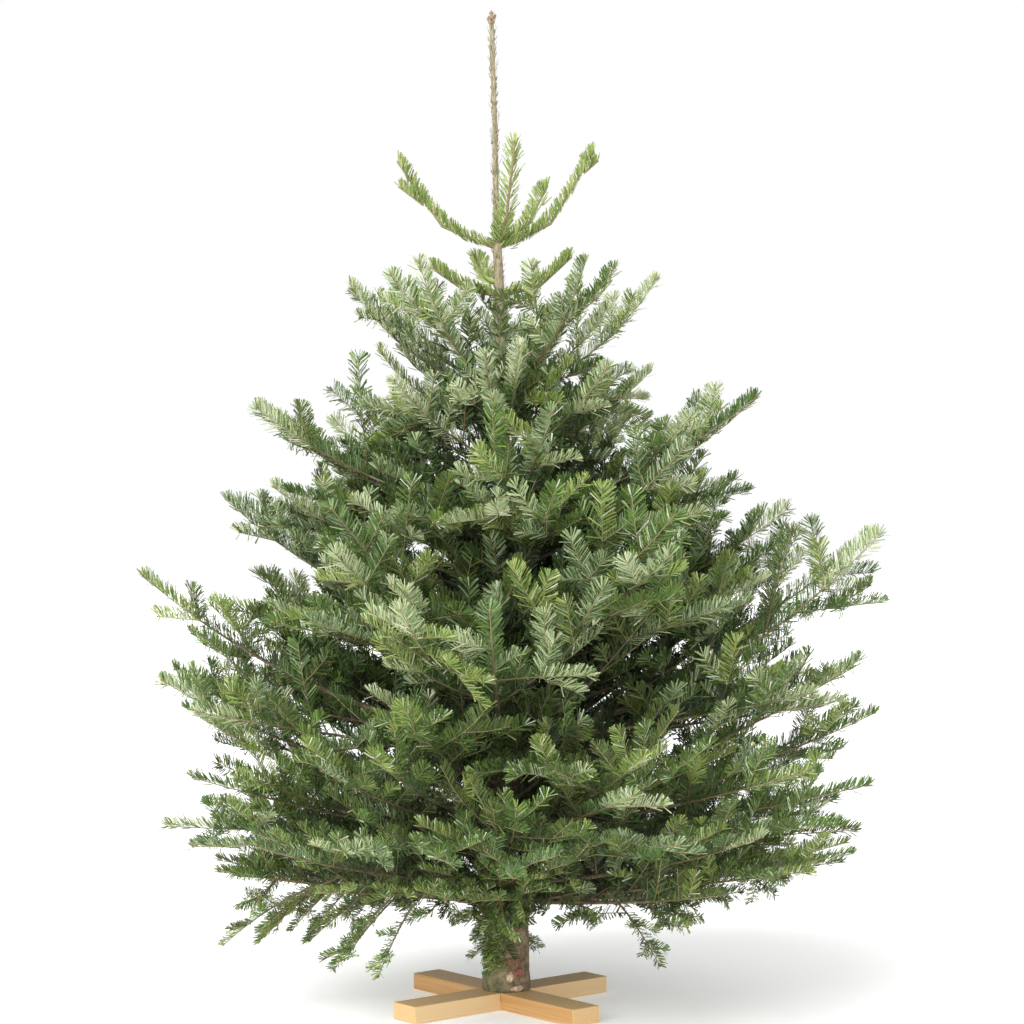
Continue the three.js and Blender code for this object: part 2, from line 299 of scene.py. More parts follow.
CAST_SHARE = 0.5  # how far a spray's tint is its bough's own

# The pair of side axes at a season's end and the weak ones along it: how often they grow, their
# angle from the axis and its spread, in degrees, their rise off its plane and their vigour over its.
PAIR = dict(chance=1.0, angle=52, spread=6, rise=(0.14, 0.24), vigour=0.80, lengths=(0.86, 1.12))
WEAK = dict(chance=0.6, angle=60, spread=8, rise=(0.55, 0.45), vigour=0.55, lengths=(0.80, 1.25))
WEAK_PLACES = (0.30, 0.85)  # where along a season's shoot the weak ones start
BARE_SHARE = 0.20  # how far out a bough starts to branch
FULL_SHARE = 0.62  # and from where it branches in full
BARE_CHANCE = 0.10
SEASON_LENGTHS = (0.84, 1.14)
EAGERNESS = (-0.5, 2.1)  # how much of its tier's lift a side axis has
STRAY = 0.07  # how far a season's course strays

HANGING = 0.55  # how often the lowest boughs send a twig down at a season's end
HANG_DEPTH = 45 * MM
HANG_LENGTHS = (34, 50)  # millimetres
GOLDEN_TURN = 137.5  # degrees from one trunk spray to the next
SUNK = 0.8  # of the trunk's radius, where what grows on it starts
# The small growth on and round the trunk. Places, reaches and the low sprays' lengths are in metres,
# their ends and every other length, drop and thickness in millimetres, and turns in degrees.
TRUNK_SPRAYS = dict(count=48, low=0.24, rise=0.95, front=(-120, -30), slope=(-0.1, 0.5), keep=0.9,
                    length=78, reach=0.4, top=1.0, top_length=62, top_reach=0.1)
LOW_SPRAYS = dict(turns=[*range(-214, -104, 10), -50, 20, 70, 120], stray=7, start=(0.18, 0.38),
                  length=(0.10, 0.15), end=(66, 100), end_rise=0.14, arch=18, keep=0.95, reach=0.42,
                  floor=80, seasons=4, thick=2.2)
FOOT_SPRIGS = dict(count=22, front=(-155, -95), around=(-60, 210), height=(0.095, 0.185),
                   swing=(-15, 35), out=(6, 46), drop=(16, 42), arch=(7, 6), reach=0.08, thick=0.9)
LONE_THICK = 3.2 * MM
LONE_SIDE_THICK = 1.4 * MM
# Two lone shoots have a side shoot, so far along and so many millimetres long.
LONE_SIDES = {"top_shoot_left": (0.70, 50), "top_shoot_right": (0.88, 30)}

shoots = []


def mass_foot(ring, index, foliage):
    """Where a mass's boughs leave the trunk, and the slope of its bare limb if it has one."""
    limb = f"bough_{ring}_{index}"
    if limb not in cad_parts:
        return trunk_at(ends_of(foliage, (0, 0), 8, 8)[0][2]), None
    root, end = ends_of(points_of(limb), (0, 0), 4, 4)
    return trunk_at(root[2]), unit(end - root)


def mass_plan(ring, index):
    """Where a mass's boughs start, their slope there and their heading, and tips spread over the
    mass, the highest and lowest of its far end first."""
    foliage = points_of(f"foliage_{ring}_{index}")
    foot, slope = mass_foot(ring, index, foliage)
    away = foliage - foot
    distance = np.hypot(away[:, 0], away[:, 1])
    heading = unit(away[distance > 0.9 * distance.max()].mean(0) * np.array([1, 1, 0]))
    out = away @ heading
    far = np.flatnonzero(out > FAR_SHARE * out.max())
    picks = [far[np.argmax(foliage[far, 2])], far[np.argmin(foliage[far, 2])]]
    while len(picks) < RINGS[ring]["boughs"]:
        share = FAR_SHARE if len(picks) % 2 else INNER_SHARE
        pool = np.flatnonzero(out > share * out.max())
        clear = np.min([length_of(foliage[pool] - foliage[p])[:, 0] for p in picks], axis=0)
        picks.append(pool[np.argmax(clear)])
    tips = foot + (foliage[picks] - foot) * TIP_SHARE
    highest = foot + heading * np.dot(tips[0] - foot, heading)
    highest[2] = tips[0][2]
    tips[0] = highest
    tips[:, 2] = np.maximum(tips[:, 2], LOW_EDGE + 8 * MM)
    return {"foot": foot, "slope": slope, "heading": heading, "tips": tips}


PLANS = {(ring, index): mass_plan(ring, index) for ring in RINGS for index in MASSES}


class Bough:
    """What every shoot of one bough has in common."""

    def __init__(self, mass, ring, keep, side_seasons, reach=1.0, floor=LOWEST):
        self.mass = mass
        self.reach = reach
        self.ring = ring
        self.lift = RINGS[ring]["lift"] + rng.gauss(0, 0.09) if ring else 0.0
        self.shortest = RINGS[ring]["shortest"] * MM if ring else 0.0
        self.keep = keep
        self.cast = rng.random()
        self.side_seasons = side_seasons
        self.floor = floor

    def shoot(self, start, bend, end, up, age, order, spray, thick):
        """Notes one season's shoot, or says that it would come too low."""
        if min(start[2], end[2]) < LOWEST:
            return False
        over = unit(end - start)
        shoots.append(dict(
            start=start, bend=bend, end=end, up=unit(up - over * np.dot(up, over)), age=age,
            order=order, mass=self.mass, ring=self.ring, thick=thick,
            spray=CAST_SHARE * self.cast + (1 - CAST_SHARE) * spray,
            depth=1 - hypot(end[0], end[1]) / self.reach,
        ))
        return True

    def over_floor(self, course, place, step):
        """A course turned up where it would take a shoot under the mass."""
        least = min(0.5, (self.floor - place[2]) / step)
        return unit(np.array([course[0], course[1], max(course[2], least)]))

    def side(self, start, course, up, seasons, length, order, spray):
        """A side axis and all it carries. It turns up most in its last season."""
        place = start
        eager = rng.uniform(*EAGERNESS)
        for season in range(seasons):
            age = seasons - season
            step = length * rng.uniform(*SEASON_LENGTHS)
            stray = np.array([rng.gauss(0, STRAY) for _ in range(3)])
            rise = self.lift * eager * (1.5 if age == 1 else 0.8)
            after = self.over_floor(unit(course + UP * rise + stray), place, step)
            middle = place + self.over_floor(unit(course + UP * rise * 0.2), place, step) * step * 0.5
            end = middle + after * step * 0.5
            thick = TIP_RADIUS * (0.8 + 0.4 * (age - 1))
            if not self.shoot(place, middle, end, up, age, order, spray, thick):
                return
            if age > 1:
                self.branch(place, middle, end, after, up, age, length, order, 1.0)
            place = end
            course = after

    def branch(self, start, middle, end, course, up, age, length, order, share):
        """The side axes of one season's shoot. share is how far out along its bough the shoot is."""
        if order > 1:
            return
        full = (share - BARE_SHARE) / (FULL_SHARE - BARE_SHARE)
        chance = self.keep * min(1.0, max(BARE_CHANCE, full))
        over = unit(up - course * np.dot(up, course))
        for kind in (PAIR, WEAK):
            for hand in (1, -1):
                if rng.random() > chance * kind["chance"]:
                    continue
                place = end if kind is PAIR else on_curve(start, middle, end, rng.uniform(*WEAK_PLACES))
                direction = turned(course, over, hand * (kind["angle"] + rng.gauss(0, kind["spread"])))
                direction = unit(direction + over * rng.gauss(*kind["rise"]))
                grown = length * kind["vigour"] * rng.uniform(*kind["lengths"])
                if grown > self.shortest:
                    seasons = min(age - 1, self.side_seasons if kind is PAIR else 1)
                    self.side(place, direction, over, seasons, grown, order + 1, rng.random())

    def hang(self, start, middle, end, course, up):
        """A thin twig that hangs from under a low bough."""
        place = on_curve(start, middle, end, rng.uniform(0.1, 0.9))
        across = np.cross(course, up)
        direction = unit(course * 0.7 - UP * rng.uniform(0.5, 1.0) + across * rng.gauss(0, 0.45))
        twig = Bough(self.mass, self.ring, 0.9, 1, self.reach, max(LOWEST, self.floor - HANG_DEPTH))
        twig.side(place, direction, across, 2, rng.uniform(*HANG_LENGTHS) * MM, 1, rng.random())

    def grow(self, foot, bend, tip, seasons, thick):
        """A main axis, season by season along one curve from the trunk to its tip."""
        length = np.linalg.norm(tip - foot) / seasons
        spray = rng.random()
        roll = rng.gauss(0, 24)
        for season in range(seasons):
            age = seasons - season
            first = on_curve(foot, bend, tip, season / seasons)
            last = on_curve(foot, bend, tip, (season + 1) / seasons)
            middle = 2 * on_curve(foot, bend, tip, (season + 0.5) / seasons) - (first + last) / 2
            course = unit(last - middle)
            over = unit(UP - course * np.dot(UP, course))
            over = turned(over, course, roll + rng.gauss(0, 8))
            radius = TIP_RADIUS + (thick - TIP_RADIUS) * ((age - 1) / (seasons - 1)) ** 1.2
            if not self.shoot(first, middle, last, over, age, 0, spray, radius):
                return
            if age > 1:
                share = (season + 1) / seasons
                self.branch(first, middle, last, course, over, age, length, 0, share)
            low = self.ring == max(RINGS) and thick > 3 * MM
            if low and 0 < season < seasons - 1 and rng.random() < HANGING:
                self.hang(first, middle, last, course, over)


def grow_main(mass, ring, plan, floor, out):
    """A main bough to each tip of a mass. The first leaves the trunk as the mass's limb does."""
    habit = RINGS[ring]
    foot, tips = plan["foot"], plan["tips"]
    high, low = tips[:, 2].max(), tips[:, 2].min()
    for number, tip in enumerate(tips):
        if number == 0:
            root = foot
            bend = foot + (tip - foot) * np.array([0.60, 0.60, habit["bend"]])
            if plan["slope"] is not None:
                bend = foot + plan["slope"] * np.linalg.norm(tip - foot) * 0.5
            thick, side_seasons = habit["thick"] * MM, MAIN_SIDE_SEASONS
        else:
            depth = (high - tip[2]) / max(high - low, MM)
            root = trunk_at(foot[2] - (habit["below"] * depth - habit["above"] * (1 - depth)) * MM)
            bend = root + (tip - root) * np.array([0.6, 0.6, 0.3])
            thick, side_seasons = habit["thick"] * 0.55 * MM, LESSER_SIDE_SEASONS
        bough = Bough(mass, ring, habit["keep"], side_seasons, out, floor)
        bough.grow(root, bend, tip, habit["seasons"], thick)


def lesser_tips(plan, out, count, reach, heights):
    """Tips spread over a mass's sector, at a share of its reach and between two heights."""
    made = []
    for number in range(count):
        turn = SECTOR * (number / count - 0.5) + rng.gauss(0, 5)
        tip = plan["foot"] + turned(plan["heading"], UP, turn) * out * rng.uniform(*reach)
        tip[2] = max(rng.uniform(*heights), LOW_EDGE)
        made.append(tip)
    return made


def grow_lesser(mass, ring, plan, out):
    """Boughs that leave the trunk between the tiers: some under the mass and shorter ones in it."""
    habit = RINGS[ring]
    foot = plan["foot"]
    high, low = plan["tips"][0][2], plan["tips"][1][2]
    count, least, most = habit["hang"]
    wide = (habit["wide"] - 0.05, habit["wide"] + 0.05)
    under = lesser_tips(plan, out, count, wide, (low - most * MM, low - least * MM))
    among = lesser_tips(plan, out, habit["between"], (0.52, 0.78), (low - 40 * MM, (low + high) / 2))
    for tip in under + among:
        root = trunk_at(foot[2] - habit["below"] * rng.uniform(0.0, 0.6) * MM)
        bend = root + (tip - root) * np.array([0.55, 0.55, 0.45])
        floor = max(LOW_EDGE, tip[2] - 20 * MM)
        bough = Bough(mass, ring, habit["keep"] * LESSER_KEEP, LESSER_SIDE_SEASONS, out, floor)
        bough.grow(root, bend, tip, habit["seasons"] - 1, habit["thick"] * 0.5 * MM)


def grow_crown():
    """Every mass's boughs. Each tier has its own seed, so that one can change on its own."""
    for ring in RINGS:
        rng.seed(SEED + ring)
        for index in MASSES:
            plan = PLANS[ring, index]
            floor = max(LOW_EDGE, plan["tips"][:, 2].min() - 15 * MM)
            out = max(np.dot(tip - plan["foot"], plan["heading"]) for tip in plan["tips"])
            grow_main(f"foliage_{ring}_{index}", ring, plan, floor, out)
            grow_lesser(f"foliage_{ring}_{index}", ring, plan, out)


def grow_trunk_sprays():
    """Short sprays on the trunk itself, between the whorls, every fourth one on its front."""
    kind = TRUNK_SPRAYS
    for number in range(kind["count"]):
        angle = radians(GOLDEN_TURN * number if number % 4 else rng.uniform(*kind["front"]))
        z = kind["low"] + kind["rise"] * (number + rng.random()) / kind["count"]
        out = outward_at(angle)
        ring = min(range(1, 6), key=lambda tier: abs(PLANS[tier, 1]["foot"][2] - z))
        start = trunk_at(z) + out * trunk_radius(z) * SUNK
        reach = kind["reach"] if ring > 1 else kind["top_reach"]
        spray = Bough(f"foliage_{ring}_{1 + number % 5}", ring, kind["keep"], 1, reach)
        seasons, length = (3, kind["length"]) if z < kind["top"] else (1, kind["top_length"])
        course = unit(out + UP * rng.uniform(*kind["slope"]))
        spray.side(start, course, UP, seasons, length * MM, 0, rng.random())


def grow_low_sprays():
    """Thin sprays that hang from under the lowest boughs, most of them on one side."""
    kind = LOW_SPRAYS
    for number, turn in enumerate(kind["turns"]):
        out = outward_at(radians(turn + rng.gauss(0, kind["stray"])))
        away = rng.uniform(*kind["start"])
        start = trunk_at(LOW_EDGE) + out * away
        end = start + out * rng.uniform(*kind["length"])
        end[2] = rng.uniform(*kind["end"]) * MM + kind["end_rise"] * away
        bend = (start + end) / 2 + UP * kind["arch"] * MM
        mass = f"foliage_6_{1 + number % 5}"
        spray = Bough(mass, 6, kind["keep"], 1, kind["reach"], kind["floor"] * MM)
        spray.grow(start, bend, end, kind["seasons"], kind["thick"] * MM)


def grow_lone_shoots():
    """The last whorl and the weak one below it, of one season."""
    for node in LONE_SHOOTS:
        points = points_of(node)
        middle = trunk_at(points[:, 2].min() + 4 * MM)
        near, far = ends_of(points, middle, 6, 9)
        start = trunk_at(near[2] - 6 * MM)
        bend = start + (far - start) * np.array([0.60, 0.60, 0.02])
        bough = Bough("top", 0, 1.0, 1)
        bough.shoot(start, bend, far, UP, 1, 0, rng.random(), LONE_THICK)
        if node in LONE_SIDES:
            share, length = LONE_SIDES[node]
            place = on_curve(start, bend, far, share)
            end = place + unit((far - bend) * np.array([1, 1, 0.35])) * length * MM
            bough.shoot(place, (place + end) / 2, end, UP, 1, 1, rng.random(), LONE_SIDE_THICK)


def grow_foot_sprigs():
    """Small live sprigs on the trunk below the lowest boughs, most of them on its left front."""
    kind = FOOT_SPRIGS
    for number in range(kind["count"]):
        turn = rng.uniform(*kind["front" if number % 4 else "around"])
        height = rng.uniform(*kind["height"])
        first = turned(EAST, UP, turn)
        last = turned(first, UP, rng.uniform(*kind["swing"]))
        start = trunk_at(height) + first * trunk_radius(height) * SUNK
        end = trunk_at(height) + last * (trunk_radius(height) + rng.uniform(*kind["out"]) * MM)
        end[2] -= rng.uniform(*kind["drop"]) * MM
        forward, upward = kind["arch"]
        bend = (start + end) / 2 + first * forward * MM + UP * upward * MM
        bough = Bough("foliage_6_1", 6, 1.0, 1, kind["reach"])
        bough.shoot(start, bend, end, UP, 1, 2, rng.random(), kind["thick"] * MM)


# ---- Turning shoots into meshes ----

def shoot_arrays(chosen):
    return {key: np.array([shoot[key] for shoot in chosen]) for key in chosen[0]}


def frames_on(a, pick, t):
    """Points on the picked shoots' curves, with along, up and side there."""
    t = t[:, None]
    start, bend, end = a["start"][pick], a["bend"][pick], a["end"][pick]
    place = on_curve(start, bend, end, t)
    along = (1 - t) * (bend - start) + t * (end - bend)
    along /= length_of(along)
    up = a["up"][pick]
    up = up - along * (up * along).sum(1)[:, None]
    up /= length_of(up)
    return place, along, up, np.cross(along, up)


def joined(name, points, faces, materials, which, smooth=False):
    """One mesh from arrays, with a row for each face. which numbers each face's material."""
    mesh = new_mesh(name, materials)
    count, corners = faces.shape
    mesh.vertices.add(len(points))
    mesh.vertices.foreach_set("co", points.astype(np.float32).ravel())
    mesh.loops.add(count * corners)
    mesh.loops.foreach_set("vertex_index", faces.astype(np.int32).ravel())
    mesh.polygons.add(count)
    mesh.polygons.foreach_set("loop_start", np.arange(0, count * corners, corners, dtype=np.int32))
    mesh.polygons.foreach_set("material_index", which.astype(np.int32))
    mesh.polygons.foreach_set("use_smooth", np.full(count, smooth))
    mesh.update(calc_edges=True)
    return mesh


def repeated(shape, count):
    """The faces of a small shape, for each of count copies of its points."""
    faces = np.array(shape)
    first = np.arange(count)[:, None, None] * (faces.max() + 1)
    return (first + faces).reshape(-1, faces.shape[1])


def ring_quads(sides, levels):
    """The faces between rings of points, one ring above the last."""
    quads = []
    for level in range(levels):
        for corner in range(sides):
            one = level * sides + corner
            two = level * sides + (corner + 1) % sides
            quads.append((one, two, two + sides, one + sides))
    return quads


# ---- Needles ----
# Needles of the blunt kind: flat, straight and parallel-sided.
NEEDLE_LENGTH = 25 * MM
NEEDLE_WIDTH = 2.1 * MM
NEEDLES_PER_METRE = 1450
NARROWER = {5: 0.92, 6: 0.84}  # the needles of the shaded tiers
# A needle's points, from its narrow foot to its blunt end, each with its share of the length, of
# the bow and of half the width, and its faces.
STRAIGHT_NEEDLE = [(0, 0, 0.5), (0, 0, -0.5), (1, 1, 0.85), (1, 1, -0.85)]
STRAIGHT_FACES = [(0, 1, 3), (0, 3, 2)]
BENT_NEEDLE = [(0, 0, 0), (0.38, 0, 1), (0.38, 0, -1), (1, 1, 0.75), (1, 1, -0.75)]
BENT_FACES = [(0, 2, 1), (1, 2, 4), (1, 4, 3)]
# How full a shoot still is by its age: needles drop from the second year on.
FULLNESS = np.array([1.0, 0.85, 0.62, 0.36, 0.18, 0.08])
LONE_FULLNESS = 1.5
TOP_TIER_FULLNESS = 1.2
LEAST_NEEDLES = 4
TIP_NEEDLES = 12  # more round the bud at a shoot's tip
COARSE_DEPTH = 0.37  # needles deeper in the crown, and on lone shoots, are fewer and broader
COARSE_FULLNESS = 0.58
COARSE_WIDTH = 1.4
FULL_SHOOT = 90 * MM  # a shoot this long has needles of full length
RANKED_SHARE = 0.50  # of the needles stand in a rank on each side
ABOVE_SHARE = 0.93  # and the rest up to here above, parted down the middle
RANKED = (64, 10)  # degrees round the shoot from straight above, with their spread
ABOVE = (6, 54)  # the same, from and to
BELOW = (102, 12)
LEAN = 67  # degrees from the shoot's course at its foot, so much less at its tip, and their spread
LEAN_LESS = 8
LEAN_SPREAD = 5
ROSETTE_START = 0.90  # how far along a young shoot the rosette round its bud starts
# Living needles: a waxy skin over leaf flesh. The wax gives a broad, satin shine that pales the
# green where light falls on it. Each spray has its own plain tint.
NEEDLE_TINTS = [
    ("fir needle pale frosted green", "#c1ca9e"),
    ("fir needle frosted green", "#a5b383"),
    ("fir needle fresh green", "#a0b163"),
    ("fir needle grey green", "#83996a"),
    ("fir needle soft green", "#7f984a"),
    ("fir needle green", "#5a7836"),
    ("fir needle olive", "#657235"),
    ("fir needle dark green", "#496030"),
    ("fir needle deep green", "#445238"),
    ("fir needle pale underside and painted highlight", "#c5cdb4"),
    ("newest fir needle yellow green", "#a9b56f"),
    ("newest fir needle green", "#869c55"),
]
FRESH = [2, 4, 5, 6, 7, 8]  # from the palest to the deepest, on boughs with a fresh cast
FROSTED = [0, 1, 3, 5, 7, 8]  # and on those with a frosted one
# The pale underside tint is partly the needle's real pale underside and partly a painted highlight of its
# gloss.
PALE_UNDERSIDE_AND_HIGHLIGHT = 9
NEWEST = (10, 11)
UNDERSIDE_AND_HIGHLIGHT_SHARE = 0.07
STRAY_SHARE = 0.25  # needles two tints darker than their spray's
BRIGHT_SHARE = 0.22  # and one tint paler
# How deep the tint is, on the scales above, by age: at the top of the tree, its middle and its foot.
DEPTHS = {
    "top": [[0, 1, 1, 0, 1, 2], [1, 2, 2, 3, 2], [3, 4, 3]],
    "middle": [[1, 2, 1, 0, 2, 3, 1, 2, 3], [2, 3, 3, 2, 4], [4, 4, 3, 4, 5], [4, 5, 5]],
    "foot": [[1, 2, 3, 2, 1, 3, 2], [3, 4, 3, 4, 3], [4, 4, 3, 4, 5], [4, 5, 5]],
}
ZONES = {1: "top", 2: "middle", 3: "middle", 4: "middle", 5: "foot", 6: "foot"}
# A spray is frosted when its own number, from 0 to 1, is over its tier's.
FROST = {1: 0.50, 2: 0.48, 3: 0.52, 4: 0.60, 5: 0.64, 6: 0.82}
LEADING_FROST = 0.15  # is added to a leading shoot's number
PAINTED_SHADE_DEPTHS = (0.32, 0.50)  # painted shade: past each of these depths into the crown the tint is one deeper
DEAL = 97  # spreads a spray's number over the tints of its row


def needle_points(outline, root, course, bow, across):
    """The outline's points for each needle. course is as long as the needle, across half as wide."""
    points = [root + course * out + bow * bent + across * wide for out, bent, wide in outline]
    return np.stack(points, axis=1).reshape(-1, 3)


def needle_scales(chosen):
    """For each shoot its scale of tints, fresh or frosted, and how deep on it the shoot is, by its age,
    its height and its place in the crown, where the deeper tint inside the crown is painted shade."""
    frosted = np.zeros(len(chosen), dtype=bool)
    depths = np.zeros(len(chosen), dtype=int)
    for number, shoot in enumerate(chosen):
        if not shoot["ring"]:
            continue
        rows = DEPTHS[ZONES[shoot["ring"]]]
        row = rows[min(shoot["age"], len(rows)) - 1]
        # Painted shade: shoots deep inside the crown take a deeper tint.
        painted_shade = sum(shoot["depth"] > past for past in PAINTED_SHADE_DEPTHS)
        spray = shoot["spray"]
        leading = LEADING_FROST if shoot["order"] == 0 else 0
        depths[number] = row[int(spray * DEAL) % len(row)] + painted_shade
        frosted[number] = spray + leading > FROST[shoot["ring"]]
    return frosted, depths


def needle_counts(a, lengths, inner):
    fullness = FULLNESS[a["age"] - 1] * np.where(a["ring"] == 0, LONE_FULLNESS, 1.0)
    tier = np.where(a["ring"] == 1, TOP_TIER_FULLNESS, 1.0)
    fullness = fullness * np.where(inner, COARSE_FULLNESS, tier)
    counts = lengths * NEEDLES_PER_METRE * fullness + TIP_NEEDLES * (a["age"] == 1)
    return np.maximum(LEAST_NEEDLES, counts).astype(int)


def needle_tints(chosen, pick):
    """Each needle's tint: its spray's, with some paler, some darker and some pale undersides that are
    partly painted highlights.
    """
    frosted, depths = needle_scales(chosen)
    stray = dice.random(len(pick))
    bright = (stray > 0.5) & (stray < 0.5 + BRIGHT_SHARE)
    depth = np.clip(depths[pick] + 2 * (stray < STRAY_SHARE) - 1 * bright, 0, len(FRESH) - 1)
    tint = np.where(frosted[pick], np.array(FROSTED)[depth], np.array(FRESH)[depth])
    # Pale undersides, partly real and partly painted highlight: a few needles take this palest tint over
    # their whole face.
    tint = np.where((stray > 1 - UNDERSIDE_AND_HIGHLIGHT_SHARE) & (depth < 3), PALE_UNDERSIDE_AND_HIGHLIGHT, tint)
    newest = np.array([not shoot["ring"] for shoot in chosen])[pick]
    return np.where(newest, np.where(stray < 0.5, *NEWEST), tint)


def needle_rows(chosen, bent):
    """The points, faces and tints of some shoots' needles."""
    a = shoot_arrays(chosen)
    lengths = length_of(a["end"] - a["start"])[:, 0]
    inner = a["depth"] > COARSE_DEPTH
    counts = needle_counts(a, lengths, inner)
    pick = np.repeat(np.arange(len(chosen)), counts)
    total = len(pick)
    first = np.repeat(np.cumsum(counts) - counts, counts)
    newest = a["ring"][pick, None] == 0

    # Needles crowd towards a young shoot's tip.
    t = np.clip((np.arange(total) - first + dice.random(total)) / counts[pick], 0, 1)
    is_tip = a["age"][pick] == 1
    t = np.where(is_tip, np.interp(t, [0, 0.84, 1], [0, 0.91, 1]), t)
    near_tip = np.where(is_tip, np.clip((t - ROSETTE_START) / (1 - ROSETTE_START), 0, 1), 0)
    place, along, up, side = frames_on(a, pick, t)

    roll = dice.random(total)
    hand = np.where(dice.random(total) < 0.5, -1.0, 1.0)
    ranked = dice.normal(*RANKED, total)
    above = dice.uniform(*ABOVE, total)
    below = dice.normal(*BELOW, total)
    around = np.where(roll < RANKED_SHARE, ranked, np.where(roll < ABOVE_SHARE, above, below))
    around = np.radians(around) * hand * (1 + near_tip * dice.uniform(-0.7, 0.5, total))
    lean = LEAN - LEAN_LESS * t + dice.normal(0, LEAN_SPREAD, total)
    lean = np.radians(lean * (1 - near_tip * dice.uniform(0, 0.7, total)))
    around = around * np.where(newest[:, 0], 0.72, 1.0)
    outward = swung(up, side, around[:, None])
    course = swung(along, outward, lean[:, None])

    # The longest are along the middle of a long shoot, out to its sides.
    profile = np.interp(t, [0, 0.10, 0.88, 1.0], [0.70, 1.0, 1.0, 0.80])
    vigour = np.clip(0.55 + 0.45 * lengths / FULL_SHOOT, 0.66, 1.0)
    vigour = vigour * np.array([RINGS[ring]["needle"] if ring else 1.0 for ring in a["ring"]])
    size = NEEDLE_LENGTH * (0.84 + 0.16 * np.abs(np.sin(around))) * profile * vigour[pick]
    size = size * dice.uniform(0.88, 1.08, total)

    bow = along * dice.uniform(0.06, 0.24, (total, 1)) + up * dice.uniform(0.0, 0.10, (total, 1))
    bow = bow * (size * (1 - near_tip))[:, None]
    face = up + 0.3 * along + dice.normal(0, 1, (total, 3)) * np.where(newest, 1.6, 0.7)
    across = np.cross(course, face)
    broad = np.where(inner, COARSE_WIDTH, 1.0) * np.array([NARROWER.get(ring, 1.0) for ring in a["ring"]])
    across *= NEEDLE_WIDTH / 2 / length_of(across) * broad[pick, None]
    root = place + outward * (a["thick"][pick] * 0.6)[:, None]

    tint = needle_tints(chosen, pick)
    outline, shape = (BENT_NEEDLE, BENT_FACES) if bent else (STRAIGHT_NEEDLE, STRAIGHT_FACES)
    points = needle_points(outline, root, course * size[:, None], bow, across)
    return points, repeated(shape, total), np.repeat(tint, len(shape))


def needle_mesh(name, chosen, materials):
    """The needles of some shoots. Those of the newest leading ones are bent."""
    points, faces, tint = [], [], []
    for bent in (True, False):
        part = [shoot for shoot in chosen if (shoot["age"] == 1 and shoot["order"] == 0) == bent]
        if part:
            rows = needle_rows(part, bent)
            faces.append(rows[1] + sum(map(len, points)))
            points.append(rows[0])
            tint.append(rows[2])
    points, faces, tint = map(np.concatenate, (points, faces, tint))
    return joined(name, points, faces, materials, tint)


def crown_needles():
    """A piece of needles for the top, and two for each tier, front and back."""
    greens = plain_materials(NEEDLE_TINTS, 0.48, 0.38)
    top = [shoot for shoot in shoots if shoot["mass"] == "top"]
    add_piece(needle_mesh("needles_top", top, greens), LONE_SHOOTS)
    for ring in RINGS:
        masses = [f"foliage_{ring}_{index}" for index in MASSES]
        for half, sign in (("front", -1), ("back", 1)):
            nodes = [mass for mass in masses if sign * points_of(mass)[:, 1].mean() > 0]
            chosen = [shoot for shoot in shoots if shoot["mass"] in nodes]
            add_piece(needle_mesh(f"needles_tier_{ring}_{half}", chosen, greens), nodes)


# ---- Limbs, twigs and buds ----
# Young twigs are tan and downy, older ones turn grey brown. Their skin is matt.
TWIG_TINTS = [("fir twig of one season", "#968860"), ("fir twig of two seasons", "#796b47"),
              ("older fir twig", "#62563f")]
# Winter buds: red-brown scales under a thin, glassy coat of resin, some dried to tan.
BUD_TINTS = [("red brown bud scale", "#8a6246"), ("tan bud scale", "#a98c60")]
LEADER_BUD_TINTS = [("dry pink brown bud scale", "#a98d7b"), ("dull brown bud scale", "#8e7460")]
BUD_SIDES = 5
BUD_WIDEST = 0.45  # how far along a bud it is widest
BUD_LENGTHS = (5.0, 4.0)  # millimetres: the end bud, and those beside it


def tube_mesh(name, chosen, materials, sides, steps, relief=0.0):
    """A tapering tube for each shoot. relief roughens its bark."""
    a = shoot_arrays(chosen)
    count = len(chosen)
    narrow = np.interp(a["age"], [1, 2, 3, 6], [0.62, 0.72, 0.78, 0.84])
    rings = []
    for step in range(steps + 1):
        share = step / steps
        place, along, up, side = frames_on(a, np.arange(count), np.full(count, share))
        radius = a["thick"] * (1 - (1 - narrow) * share)
        for corner in range(sides):
            angle = 2 * pi * corner / sides
            rough = radius * (1 + relief * dice.normal(0, 1, count))
            rings.append(place + swung(side, up, angle) * rough[:, None])
    quads = ring_quads(sides, steps)
    faces = repeated(quads, count)
    which = np.repeat(np.minimum(a["age"], len(materials)) - 1, len(quads))
    points = np.stack(rings, axis=1).reshape(-1, 3)
    return joined(name, points, faces, materials, which, smooth=True)


def limbs_and_twigs():
    """The older wood of the boughs as round limbs with bark, and what is younger as twigs."""
    bark = bark_material("fir limb bark", "#8a7d5f", "#6e6249", "#544a37", 0.0)
    browns = plain_materials(TWIG_TINTS, 0.78)
    old = [shoot for shoot in shoots if shoot["order"] == 0 and shoot["age"] >= 3]
    young = [shoot for shoot in shoots if shoot["order"] == 1 or shoot["order"] == 0 and shoot["age"] < 3]
    thin = [shoot for shoot in shoots if shoot["order"] == 2]
    boughs = [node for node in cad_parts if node.startswith("bough_")]
    add_piece(tube_mesh("limbs", old, [bark], 8, 4, relief=0.04), boughs)
    add_piece(tube_mesh("twigs", young, browns, 4, 2))
    add_piece(tube_mesh("thin_twigs", thin, browns, 3, 2))


